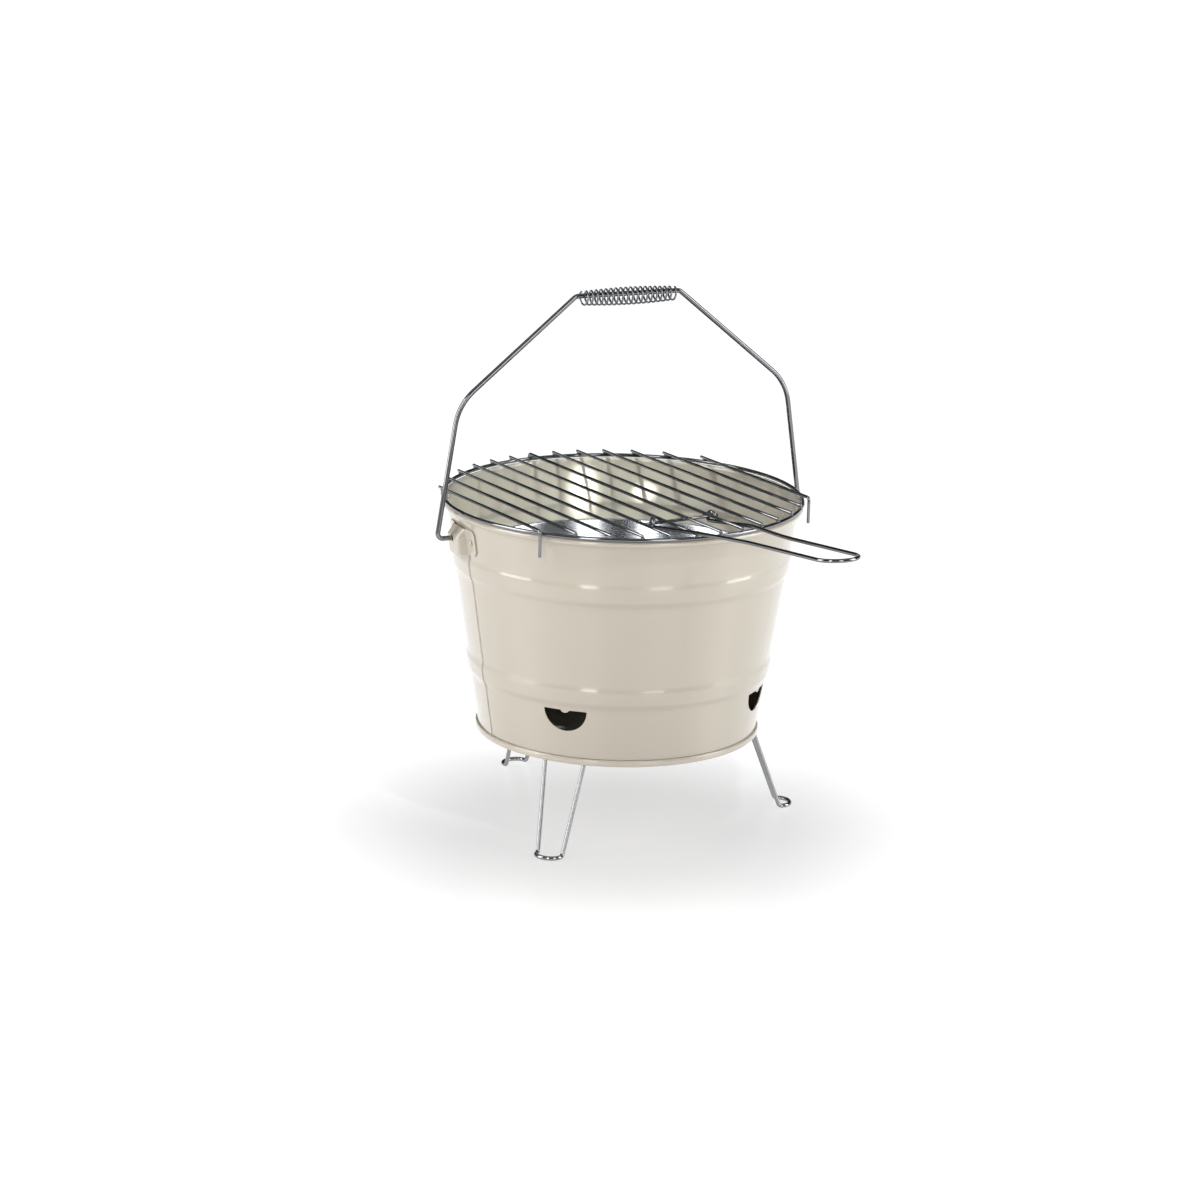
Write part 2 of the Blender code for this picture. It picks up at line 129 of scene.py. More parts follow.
HANDLE_WIRE = 0.0015
HANDLE_LENGTH = 0.2098
HANDLE_ROOT_HALF = 0.0234
HANDLE_END_HALF = 0.016
HANDLE_WAIST = (0.045, 0.075)     # where the loop starts to narrow, and over what length
HANDLE_RISE = 8.6                 # degrees above level
HANDLE_DIP = 3.5                  # degrees that its outer part is bent back down
HANDLE_DIP_FROM = 0.056
HANDLE_STEPS = 48
EYE_RADIUS = ROD_WIRE + HANDLE_WIRE + 0.00035
EYE_TURN = 290
EYE_STEPS = 27
EYE_PITCH = 0.0038

LEG_WIRE = 0.0017
LEG_AZIMUTHS = {"front": -136.5, "right": -16.5, "rear": 103.5}
LEG_PIVOT_RADIUS = 0.09887
LEG_PIVOT_Z = 0.073
LEG_SPLAY = 20.6
LEG_TOP_HALF = 0.016
LEG_FOOT_HALF = 0.00965
LEG_BEND = 0.003
LEG_TOE = (0.0022, 0.0075)        # where the foot loop's half ellipse starts, and its reach
BASE_Z = 0.075
CLIP_SHEET = 0.0008
CLIP_HALF_WIDTH = 0.006
CLIP_PLAY = 0.0004                # between the wire and the clip round it
CLIP_REACH = 0.0187
CLIP_CORNER = 0.0015
CLIP_RIVET_AT = 0.0105

PAN_SHEET = 0.0008
PAN_FLOOR_Z = 0.156
PAN_FOOT = 0.1105
PAN_TOP_Z = 0.1963
PAN_LIP = 0.1235
PAN_SKIRT_Z = 0.1916
PAN_HOLES = ((0.0, 1), (0.038, 6), (0.078, 12))    # ring radius, number of holes
PAN_HOLE_RADIUS = 0.0035
PAN_HOLE_START = 15.0             # azimuth of the first hole in each ring
PAN_CURL = 0.0016                 # radius of the lip's curl

# the photographed view, in degrees and metres, and the lens in millimetres
VIEW_AZIMUTH = -25.0
VIEW_ELEVATION = 15.22
VIEW_ROLL = 1.556
VIEW_DISTANCE = 2.75
VIEW_TARGET = Vector((0, 0, 0.166))
VIEW_LENS = 110.06
VIEW_SHIFT = (-20 / 1200, -3.2 / 1200)


# ---------------------------------------------------------------- materials
def material(name):
    """A new node material, with its tree, shader and a helper that adds linked nodes."""
    mat = bpy.data.materials.new(name)
    mat.use_nodes = True
    tree = mat.node_tree
    shader = tree.nodes["Principled BSDF"]

    def node(kind, **inputs):
        new = tree.nodes.new(kind)
        for key, value in inputs.items():
            socket = new.inputs[key.replace("_", " ")]
            if isinstance(value, bpy.types.NodeSocket):
                tree.links.new(value, socket)
            else:
                socket.default_value = value
        return new

    return mat, tree, shader, node


def spread(node, source, low, high):
    """Map a 0..1 value to low..high."""
    ramp = node("ShaderNodeMapRange", Value=source)
    ramp.inputs["To Min"].default_value = low
    ramp.inputs["To Max"].default_value = high
    return ramp.outputs["Result"]


def ease(tree, value, low, high, start, end):
    """Go smoothly from start to end as a value goes from low to high."""
    ramp = tree.nodes.new("ShaderNodeMapRange")
    ramp.interpolation_type = "SMOOTHSTEP"
    tree.links.new(value, ramp.inputs["Value"])
    for key, number in (("From Min", low), ("From Max", high), ("To Min", start),
                        ("To Max", end)):
        ramp.inputs[key].default_value = number
    return ramp.outputs["Result"]


def mix_colour(tree, factor, first, second):
    """Go from one colour to another as a factor goes from 0 to 1."""
    mixed = tree.nodes.new("ShaderNodeMix")
    mixed.data_type = "RGBA"
    tree.links.new(factor, mixed.inputs["Factor"])
    mixed.inputs["A"].default_value = (*first, 1)
    mixed.inputs["B"].default_value = (*second, 1)
    return mixed.outputs["Result"]


def maths(tree, operation, *terms):
    """A math node on sockets and numbers."""
    result = tree.nodes.new("ShaderNodeMath")
    result.operation = operation
    for socket, term in zip(result.inputs, terms):
        if isinstance(term, bpy.types.NodeSocket):
            tree.links.new(term, socket)
        else:
            socket.default_value = term
    return result.outputs[0]


def enamel():
    """Glossy cream enamel: faint tone drift, orange peel and a clear skin."""
    mat, tree, shader, node = material("cream_enamel")
    where = node("ShaderNodeTexCoord").outputs["Object"]
    drift = node("ShaderNodeTexNoise", Vector=where, Scale=14.0, Detail=3.0).outputs["Fac"]
    colour = mix_colour(tree, drift, (0.455, 0.409, 0.338), (0.480, 0.432, 0.358))
    tree.links.new(colour, shader.inputs["Base Color"])
    gloss = node("ShaderNodeTexNoise", Vector=where, Scale=55.0, Detail=2.0).outputs["Fac"]
    tree.links.new(spread(node, gloss, 0.20, 0.28), shader.inputs["Roughness"])
    shader.inputs["Coat Weight"].default_value = 0.8
    shader.inputs["Coat Roughness"].default_value = 0.05
    peel = node("ShaderNodeTexNoise", Vector=where, Scale=420.0, Detail=2.0).outputs["Fac"]
    bump = node("ShaderNodeBump", Height=peel, Strength=0.05, Distance=0.0004)
    tree.links.new(bump.outputs["Normal"], shader.inputs["Normal"])
    return mat


def plated_wire(name, dull, bright, smooth_to, rough_to):
    """Plated wire with fine drawing lines and slight haze, between two shades."""
    mat, tree, shader, node = material(name)
    where = node("ShaderNodeTexCoord").outputs["Object"]
    haze = node("ShaderNodeTexNoise", Vector=where, Scale=160.0, Detail=4.0).outputs["Fac"]
    colour = mix_colour(tree, haze, dull, bright)
    tree.links.new(colour, shader.inputs["Base Color"])
    shader.inputs["Metallic"].default_value = 1.0
    tree.links.new(spread(node, haze, smooth_to, rough_to), shader.inputs["Roughness"])
    ripple = node("ShaderNodeTexNoise", Vector=where, Scale=900.0, Detail=2.0).outputs["Fac"]
    bump = node("ShaderNodeBump", Height=ripple, Strength=0.01, Distance=0.0002)
    tree.links.new(bump.outputs["Normal"], shader.inputs["Normal"])
    return mat


def bright_steel():
    """Plated sheet steel with a fine rolled grain and soft blotches."""
    mat, tree, shader, node = material("bright_sheet_steel")
    where = node("ShaderNodeTexCoord").outputs["Object"]
    stretched = node("ShaderNodeMapping", Vector=where)
    stretched.inputs["Scale"].default_value = (1.0, 14.0, 1.0)
    grain = node("ShaderNodeTexNoise", Vector=stretched.outputs["Vector"], Scale=160.0,
                 Detail=4.0).outputs["Fac"]
    blotch = node("ShaderNodeTexNoise", Vector=where, Scale=22.0, Detail=2.0).outputs["Fac"]
    colour = mix_colour(tree, blotch, (0.64, 0.66, 0.70), (0.76, 0.78, 0.81))
    tree.links.new(colour, shader.inputs["Base Color"])
    shader.inputs["Metallic"].default_value = 1.0
    tree.links.new(spread(node, grain, 0.14, 0.28), shader.inputs["Roughness"])
    bump = node("ShaderNodeBump", Height=grain, Strength=0.02, Distance=0.0003)
    tree.links.new(bump.outputs["Normal"], shader.inputs["Normal"])
    return mat


ENAMEL, STEEL = enamel(), bright_steel()
# far darker than real chrome, so the wires look as dark as their reflections: painted shade
DARKENED_CHROME = plated_wire("chromed_wire_painted_dark", (0.190, 0.194, 0.202), (0.250, 0.255, 0.265), 0.03, 0.09)
ZINC = plated_wire("zinc_plated_wire", (0.30, 0.303, 0.306), (0.38, 0.384, 0.388), 0.05, 0.12)


# ---------------------------------------------------------------- mesh helpers
def piece(name, verts, faces, mat, body, nodes=(), matrix=None):
    """A closed solid that rides on a body and stands for CAD nodes."""
    mesh = bpy.data.meshes.new(name)
    mesh.from_pydata([tuple(v) for v in verts], [], faces)
    if matrix is not None:
        mesh.transform(matrix)
    thing = bpy.data.objects.new(name, mesh)
    bpy.context.scene.collection.objects.link(thing)
    smooth(mesh)
    mesh.materials.append(mat)
    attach(thing, body)
    if nodes:
        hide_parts(*nodes)
    return thing


def face_out(mesh):
    """Turn all of a closed mesh's faces outwards."""
    work = bmesh.new()
    work.from_mesh(mesh)
    bmesh.ops.recalc_face_normals(work, faces=work.faces)
    work.to_mesh(mesh)
    work.free()


def smooth(mesh):
    """Shade a mesh smooth, apart from its sharp edges."""
    face_out(mesh)
    mesh.polygons.foreach_set("use_smooth", [True] * len(mesh.polygons))
    mesh.set_sharp_from_angle(angle=radians(SHARP))


def degrees_round(count, start=0.0):
    """So many equal steps round a circle, in degrees."""
    return [start + 360 * k / count for k in range(count)]


def lathe(profile, azimuths=None, closed=False, offset=None):
    """Vertices and faces of a profile of (radius, height) points turned about Z.

    offset(azimuth, z) moves the wall out; azimuths are in degrees.
    """
    azimuths = azimuths or degrees_round(TURN_STEPS)
    verts, rings = [], []
    for r, z in profile:
        first = len(verts)
        if r < 1e-6:
            verts.append((0, 0, z))
            rings.append([first] * len(azimuths))
            continue
        for a in azimuths:
            reach = r + (offset(a, z) if offset else 0)
            verts.append((reach * cos(radians(a)), reach * sin(radians(a)), z))
        rings.append(list(range(first, first + len(azimuths))))
    faces = []
    pairs = list(zip(rings, rings[1:]))
    if closed:
        pairs.append((rings[-1], rings[0]))
    for upper, lower in pairs:
        for i in range(len(azimuths)):
            j = (i + 1) % len(azimuths)
            corners = []
            for v in (upper[i], lower[i], lower[j], upper[j]):
                if v not in corners:
                    corners.append(v)
            if len(corners) > 2:
                faces.append(corners)
    return verts, faces


def arc(centre, radius, start, end, steps):
    """Points on an arc in a plane, angles in degrees."""
    out = []
    for k in range(steps + 1):
        a = radians(start + (end - start) * k / steps)
        out.append((centre[0] + radius * cos(a), centre[1] + radius * sin(a)))
    return out


def rounded(corners, closed=False):
    """A polyline from (point, bend radius) corners, with a smooth arc at each bend."""
    out = []
    for i, (corner, radius) in enumerate(corners):
        end = not closed and i in (0, len(corners) - 1)
        if end or not radius:
            out.append(Vector(corner))
            continue
        back = (corners[i - 1][0] - corner).normalized()
        ahead = (corners[(i + 1) % len(corners)][0] - corner).normalized()
        half = back.angle(ahead) / 2
        centre = corner + (back + ahead).normalized() * (radius / sin(half))
        arm = corner + back * (radius / tan(half)) - centre
        turn = pi - 2 * half
        steps = max(4, int(degrees(turn) / 5))
        bend = Matrix.Rotation(turn / steps, 3, ahead.cross(back))
        for _ in range(steps + 1):
            out.append(centre + arm)
            arm = bend @ arm
    return out


def tube(points, radius, closed=False, sides=SIDES):
    """Vertices and faces of a round wire along points, its ends slightly rounded."""
    points = [Vector(p) for p in points]
    count = len(points)
    tangents = []
    for i in range(count):
        if closed or 0 < i < count - 1:
            way = (points[(i + 1) % count] - points[i]).normalized() + \
                (points[i] - points[i - 1]).normalized()
        else:
            way = points[min(i + 1, count - 1)] - points[max(i - 1, 0)]
        tangents.append(way.normalized())
    side = tangents[0].orthogonal().normalized()
    stations = []
    for i in range(count):
        side = (side - tangents[i] * side.dot(tangents[i])).normalized()
        stations.append((points[i], tangents[i], side, radius))
    twist = 0.0
    if closed:
        twist = closing_twist(stations)
    else:
        head = [(points[0] + tangents[0] * radius * d, tangents[0], stations[0][2], radius * w)
                for d, w in WIRE_END]
        tail = [(points[-1] - tangents[-1] * radius * d, tangents[-1], stations[-1][2], radius * w)
                for d, w in reversed(WIRE_END)]
        stations = head + stations[1:-1] + tail
    verts, faces = [], []
    for i, (centre, along, first, r) in enumerate(stations):
        second = along.cross(first)
        turn = twist * i / len(stations)
        for k in range(sides):
            a = 2 * pi * k / sides + turn
            verts.append(centre + first * (r * cos(a)) + second * (r * sin(a)))
    rings = len(stations)
    for i in range(rings if closed else rings - 1):
        for k in range(sides):
            here, there = i * sides, ((i + 1) % rings) * sides
            n = (k + 1) % sides
            faces.append((here + k, here + n, there + n, there + k))
    if not closed:
        faces.append(tuple(range(sides))[::-1])
        faces.append(tuple(range((rings - 1) * sides, rings * sides)))
    return verts, faces


def closing_twist(stations):
    """How far the carried frame has turned when a closed wire comes round again."""
    _, along, first, _ = stations[0]
    carried = stations[-1][2]
    carried = (carried - along * carried.dot(along)).normalized()
    return carried.angle(first) * (1 if along.dot(carried.cross(first)) > 0 else -1)


def wire(name, points, radius, body, nodes, closed=False, matrix=None, sides=SIDES,
         mat=DARKENED_CHROME):
    """A round wire as a piece, a shade thinner than the CAD's."""
    verts, faces = tube(points, radius - SHAVE, closed, sides)
    return piece(name, verts, faces, mat, body, nodes, matrix)


def sheet(path, thickness, heights, corner=0.0, lean=None):
    """A bent strip: a plan path of (x, y) points given height, its end corners rounded.

    heights go from low to high; the outer side is to the left of the path. lean(point, z)
    is how far the strip is pulled back along X there.
    """
    path = [Vector(p) for p in path]
    lengths = [0.0]
    for a, b in zip(path, path[1:]):
        lengths.append(lengths[-1] + (b - a).length)
    total = lengths[-1]
    rows = len(heights) - 1
    verts, faces = [], []
    for i, point in enumerate(path):
        into = point - path[max(i - 1, 0)]
        out = path[min(i + 1, len(path) - 1)] - point
        along = (into.normalized() + out.normalized()).normalized()
        left = Vector((-along.y, along.x))
        inset = max(corner - min(lengths[i], total - lengths[i]), 0.0)
        trim = corner - sqrt(max(corner ** 2 - inset ** 2, 0.0))
        squeeze = 1 - 2 * trim / (heights[-1] - heights[0])
        for side in (0.5, -0.5):
            spot = point + left * (thickness * side)
            for height in heights:
                z = heights[0] + trim + (height - heights[0]) * squeeze
                back = lean(point, height) if lean else 0.0
                verts.append((spot.x - back, spot.y, z))
    stride = 2 * (rows + 1)
    last = len(path) - 1
    for i in range(last):
        a, b = i * stride, (i + 1) * stride
        for row in range(rows):
            faces.append((a + row, a + row + 1, b + row + 1, b + row))
            c, d = a + rows + 1 + row, b + rows + 1 + row
            faces.append((c, d, d + 1, c + 1))
        c, d = a + rows + 1, b + rows + 1
        faces.append((a, b, d, c))
        faces.append((a + rows, c + rows, d + rows, b + rows))
    for i, flip in ((0, False), (last, True)):
        a = i * stride
        for row in range(rows):
            quad = (a + row, a + rows + 1 + row, a + rows + 2 + row, a + row + 1)
            faces.append(quad[::-1] if flip else quad)
    return verts, faces


def turned(angle, axis):
    """A rotation in degrees about X, Y or Z."""
    return Matrix.Rotation(radians(angle), 4, axis)


def around(azimuth):
    return turned(azimuth, "Z")


def shift(x, y, z):
    return Matrix.Translation((x, y, z))


def carve(target, verts, faces, matrix):
    """Cut a solid out of a piece for good."""
    mesh = bpy.data.meshes.new("carver")
    mesh.from_pydata([tuple(v) for v in verts], [], faces)
    mesh.transform(matrix)
    face_out(mesh)
    cutter = bpy.data.objects.new("carver", mesh)
    bpy.context.scene.collection.objects.link(cutter)
    boolean = target.modifiers.new("carve", "BOOLEAN")
    boolean.operation = "DIFFERENCE"
    boolean.solver = "EXACT"
    boolean.object = cutter
    graph = bpy.context.evaluated_depsgraph_get()
    carved = bpy.data.meshes.new_from_object(target.evaluated_get(graph))
    target.modifiers.clear()
    target.data = carved
    bpy.data.objects.remove(cutter)
    smooth(carved)


def prism(outline, low, high):
    """A flat outline given thickness along Z."""
    n = len(outline)
    verts = [(x, y, low) for x, y in outline] + [(x, y, high) for x, y in outline]
    faces = [tuple(range(n))[::-1], tuple(range(n, 2 * n))]
    for i in range(n):
        j = (i + 1) % n
        faces.append((i, j, n + j, n + i))
    return verts, faces


def hole(radius, depth, steps=24, centre=(0, 0)):
    """A round cutter that reaches as far to each side of a plane."""
    return prism(circle(radius, steps, centre), -depth, depth)


def joined(solids):
    """Several solids' vertices and faces as one."""
    verts, faces = [], []
    for some, more in solids:
        first = len(verts)
        verts += some
        faces += [[i + first for i in face] for face in more]
    return verts, faces


def circle(radius, steps=24, centre=(0, 0)):
    return [(centre[0] + radius * cos(2 * pi * k / steps),
             centre[1] + radius * sin(2 * pi * k / steps)) for k in range(steps)]


# ---------------------------------------------------------------- bucket
def cone(z):
    """The wall's outer radius at a height, bands left out."""
    return HEM_RADIUS + TAPER * (z - HEM_Z)


def band_rise(z):
    """How far the swaged bands stand proud of the cone, with soft shoulders."""
    rise = 0.0
    for low, high in BANDS_Z:
        t = min(max((z - low) / BAND_RAMP, 0), 1) * min(max((high - z) / BAND_RAMP, 0), 1)
        rise += BAND_BULGE * t * t * (3 - 2 * t)
    return rise


def seam(azimuth, z):
    """The lap seam below the ear: the outer sheet's edge, with a fine crack in front of it."""
    past = (azimuth - SEAM_AZIMUTH + 180) % 360 - 180
    if past <= 0:
        lift = SEAM_STEP * max(0.0, 1 + past / SEAM_RUN) ** 2
    elif past < SEAM_CRACK / 2:
        lift = SEAM_STEP * (1 - 4 * past / SEAM_CRACK)
    else:
        lift = -SEAM_STEP * max(0.0, 2 - 2 * past / SEAM_CRACK)
    return lift * min(max((SEAM_TOP_Z - z) / SEAM_FADE, 0.0), 1.0)


def wall_profile():
    """The wall's closed section: outside, inside and the rolled bead at the rim."""
    heights = [*NECK_ROWS, *BELLY_ROWS, *FOOT_ROWS]
    for low, high in BANDS_Z:
        for k in range(BAND_STEPS + 1):
            ramp = BAND_RAMP * k / BAND_STEPS
            heights += [high - ramp, low + ramp]
        middle = (low + high) / 2
        heights += [middle + 0.003, middle - 0.003, low - 0.004, low - 0.010]
    heights = sorted({round(h, 6) for h in heights}, reverse=True)
    outer = [(cone(z) + band_rise(z), z) for z in heights]
    inner = [(r - WALL_SHEET, z) for r, z in reversed(outer)]
    bead = arc((BEAD[0], BEAD[1]), BEAD[2], 178, -112, 20)
    neck = [(inner[-1][0] + 0.00005, NECK_Z + 0.0012)]
    return outer + inner + neck + bead


def build_wall():
    """The tapered wall with its seam and four half-moon draught openings."""
    azimuths = sorted({float(k) for k in range(360)} |
                      {SEAM_AZIMUTH + SEAM_CRACK * part for part in (0.25, 0.5, 0.75, 1.0)})
    verts, faces = lathe(wall_profile(), azimuths, closed=True, offset=seam)
    wall = piece("enamel_wall", verts, faces, ENAMEL, "bucket", ["bucket_wall"])
    half, depth = VENT_TAB
    outline = arc((0, 0), VENT_RADIUS, 180, 360, 40) + \
        [(half * cos(pi * k / 14), -depth * sin(pi * k / 14)) for k in range(15)]
    facing = turned(90, "Z") @ turned(90, "X")
    for azimuth in VENT_AZIMUTHS:
        verts, faces = prism(outline, -VENT_CUT, VENT_CUT)
        carve(wall, verts, faces, around(azimuth) @ shift(VENT_REACH, 0, VENT_TOP_Z) @ facing)
    return wall


def build_base():
    """The recessed bottom with the rolled hem round it."""
    top = BASE_Z + 0.001
    profile = [(0, top), (0.1036, top), (0.1040, top - 0.0005), (0.1040, HEM_Z + 0.0050)]
    profile += arc((0.1056, HEM_Z + 0.0036), HEM_FOOT, 90, 0, 6)
    profile += arc((0.1056, HEM_Z + HEM_FOOT), HEM_FOOT, 0, -90, 6)
    profile += [(0.1051, HEM_Z + 0.0004), (0.1047, HEM_Z + 0.0014), (0.1040, HEM_Z + 0.0032),
                (0.1035, HEM_Z + 0.0050), (0.1033, BASE_Z - 0.0008), (0.1028, BASE_Z - 0.0002),
                (0.1020, BASE_Z), (0, BASE_Z)]
    verts, faces = lathe(profile)
    return piece("enamel_base", verts, faces, ENAMEL, "bucket", ["bucket_base"])


def ear_frame(azimuth):
    """Frame on the wall at the hinge line: X out of the wall, Z up its slope."""
    return around(azimuth) @ shift(cone(EAR_Z), 0, EAR_Z) @ Matrix.Rotation(atan(TAPER), 4, "Y")


def build_ear(side, azimuth):
    """A pressed ear with its nose, the hole for the bail and two rivets."""
    radius = cone(EAR_Z)
    rest = GAP + EAR_SHEET / 2
    front = NOSE_DEPTH - EAR_SHEET / 2
    foot = [(Vector((sqrt(radius ** 2 - y ** 2) - radius + rest, y, 0)), 0)
            for y in (EAR_HALF_WIDTH, 0.0195, 0.0165, 0.0140)]
    corner_y = NOSE_HALF_WIDTH + 0.0009
    corner_x = sqrt(radius ** 2 - corner_y ** 2) - radius + rest
    bends = [(Vector((corner_x, corner_y, 0)), 0.0014),
             (Vector((front, NOSE_HALF_WIDTH - 0.0009, 0)), 0.0026)]
    half = foot + bends
    path = rounded(half + [(Vector((p.x, -p.y, 0)), r) for p, r in reversed(half)])
    flat = [(p.x, p.y) for p in path]
    low, high = -EAR_DROP - EAR_HEIGHT / 2, -EAR_DROP + EAR_HEIGHT / 2

    def lean(point, z):
        """The nose's upper half slopes back towards the wall above a crease."""
        proud = point.x - (sqrt(radius ** 2 - point.y ** 2) - radius + rest)
        up = min(max((z - EAR_CREASE) / (high - EAR_CREASE), 0.0), 1.0)
        return max(proud, 0.0) * EAR_LEAN * up

    rows = [low, low + 0.0007, low + 0.005, -0.004, EAR_CREASE - 0.0008, EAR_CREASE,
            EAR_CREASE + 0.0008, (EAR_CREASE + high) / 2, high - 0.0006, high]
    verts, faces = sheet(flat, EAR_SHEET, rows, EAR_CORNER, lean)
    frame_here = ear_frame(azimuth)
    ear = piece("enamel_ear_" + side, verts, faces, ENAMEL, "bucket", ["ear_" + side],
                frame_here)
    along_x = turned(90, "Y")
    carve(ear, *hole(HOOK_HOLE, 0.003, 28),
          around(azimuth) @ shift(radius + NOSE_DEPTH, 0, EAR_Z) @ along_x)
    labels = ("front", "back") if side == "right" else ("back", "front")
    for label, y in zip(labels, (-EAR_RIVET_REACH, EAR_RIVET_REACH)):
        bearing = asin(y / radius)
        out = radius + GAP + EAR_SHEET
        seat = shift(out * cos(bearing) - radius, out * sin(bearing), -EAR_DROP)
        matrix = frame_here @ seat @ Matrix.Rotation(bearing, 4, "Z") @ along_x
        carve(ear, *hole(RIVET_HOLE, RIVET_CUT), matrix)
        carve(WALL, *hole(RIVET_HOLE, RIVET_CUT), matrix)
        rivet("ear_{}_rivet_{}".format(side, label), ENAMEL, matrix,
              "ear_rivet_{}_{}".format(side, label))


def rivet(name, mat, matrix, node):
    """A round-head rivet: domed head, shank and a peened tail."""
    head = [(0, GAP + 0.0012), (0.0006, GAP + 0.00117), (0.0012, GAP + 0.00105),
            (0.0017, GAP + 0.00085), (0.00215, GAP + 0.0005), (0.0024, GAP + 0.0002),
            (0.0024, GAP)]
    tail = RIVET_TAIL
    shank = [(0.0012, GAP), (0.0012, tail), (0.0019, tail), (0.0020, tail - 0.0003),
             (0.0016, tail - 0.0007), (0, tail - 0.0008)]
    verts, faces = lathe(head + shank, degrees_round(32))
    piece(name, verts, faces, mat, "bucket", [node], matrix)


# ---------------------------------------------------------------- bail and grip
def build_bail():
    """The carrying bail, symmetric about the bucket's axis."""
    half = [(Vector((x, 0, EAR_Z + z)), bend) for x, z, bend in BAIL_HALF]
    other = [(Vector((-p.x, 0, p.z)), bend) for p, bend in reversed(half)]
    wire("bail", rounded(half + other), BAIL_WIRE, "bail", ["bail_wire"], sides=28)


def build_grip():
    """The barrel-shaped coil spring round the bail."""
    count = GRIP_TURNS * GRIP_STEPS
    points = []
    for i in range(count + 1):
        along = i / count
        radius = GRIP_END_RADIUS + (GRIP_MIDDLE_RADIUS - GRIP_END_RADIUS) * sin(pi * along)
        turn = 2 * pi * i / GRIP_STEPS
        x = GRIP_HALF_LENGTH * (2 * along - 1)
        points.append((x, radius * sin(turn), GRIP_Z + radius * cos(turn)))
    wire("spring_grip", points, GRIP_WIRE, "grip", ["grip_spring"], sides=12)


# ---------------------------------------------------------------- grate
GRATE = around(GRATE_TURN)


def rods():
    """Each rod's number and its distance from the middle one."""
    for number in range(1, ROD_COUNT + 1):
        yield number, (number - (ROD_COUNT + 1) / 2) * ROD_PITCH


def build_grate():
    """The ring, its parallel rods, three of them hooked, and the handle's crossbar."""
    ring = [(x, y, GRATE_Z) for x, y in circle(RING_RADIUS, RING_STEPS)]
    wire("ring", ring, RING_WIRE, "grate", ["grate_ring"], closed=True)
    for number, x in rods():
        corners = []
        for side in (-1, 1):
            if number in HOOKS[side]:
                y = side * sqrt(HOOK_REACH ** 2 - x ** 2)
                tip = [(Vector((x, y, ROD_Z - HOOK_DROP)), 0), (Vector((x, y, ROD_Z)), HOOK_BEND)]
            else:
                tip = [(Vector((x, side * sqrt(ROD_REACH[side] ** 2 - x ** 2), ROD_Z)), 0)]
            corners += tip if side < 0 else tip[::-1]
        wire("rod_{:02d}".format(number), rounded(corners), ROD_WIRE, "grate",
             ["grate_rod_{:02d}".format(number)], matrix=GRATE)
    ends = [(-CROSSBAR_HALF, CROSSBAR_Y, BAR_Z), (CROSSBAR_HALF, CROSSBAR_Y, BAR_Z)]
    wire("crossbar", ends, ROD_WIRE, "grate", ["grate_crossbar"], matrix=GRATE)
    build_welds()


def build_welds():
    """Small squeezed welds where rods cross the ring and the crossbar."""
    spots = []
    for _, x in rods():
        for side in (-1, 1):
            spots.append((x, side * sqrt(RING_RADIUS ** 2 - x ** 2), ROD_Z - ROD_WIRE))
        if abs(x) < CROSSBAR_HALF - CROSSBAR_END:
            spots.append((x, CROSSBAR_Y, BAR_Z + ROD_WIRE))
    half_width, half_height = WELD
    bead = [(half_width * cos(b), half_height * sin(b)) for b in
            (radians(90 - 22.5 * k) for k in range(9))]
    bead[0], bead[-1] = (0, half_height), (0, -half_height)
    verts, faces = lathe(bead, degrees_round(12))
    welds = [([Vector(v) + Vector(spot) for v in verts], faces) for spot in spots]
    piece("grate_welds", *joined(welds), DARKENED_CHROME, "grate", matrix=GRATE)


def handle_half_width(s):
    """Half the loop's width at a distance from the hinge."""
    start, length = HANDLE_WAIST
    t = min(max((s - start) / length, 0.0), 1.0)
    return HANDLE_ROOT_HALF - (HANDLE_ROOT_HALF - HANDLE_END_HALF) * t * t * (3 - 2 * t)


def handle_z(s):
    """The loop's height at a distance from the hinge, before it is tilted up."""
    return -EYE_RADIUS - max(s - HANDLE_DIP_FROM, 0.0) * tan(radians(HANDLE_DIP))


def build_handle():
    """The grate's handle: a long loop whose two ends are eyes round the crossbar."""
    hinge = GRATE @ shift(0, CROSSBAR_Y, BAR_Z) @ turned(-HANDLE_RISE, "X")
    half = []
    for step in range(EYE_STEPS, 0, -1):
        a = radians(EYE_TURN) * step / EYE_STEPS
        half.append(Vector((HANDLE_ROOT_HALF + EYE_PITCH * a / (2 * pi),
                            EYE_RADIUS * sin(a), -EYE_RADIUS * cos(a))))
    straight = HANDLE_LENGTH - HANDLE_END_HALF
    for k in range(HANDLE_STEPS + 1):
        s = straight * k / HANDLE_STEPS
        half.append(Vector((handle_half_width(s), -s, handle_z(s))))
    for k in range(1, 13):
        a = pi / 2 * k / 12
        s = straight + HANDLE_END_HALF * sin(a)
        half.append(Vector((HANDLE_END_HALF * cos(a), -s, handle_z(s))))
    other = [Vector((-p.x, p.y, p.z)) for p in reversed(half[:-1])]
    wire("handle_loop", half + other, HANDLE_WIRE, "handle", ["grate_handle"], matrix=hinge)


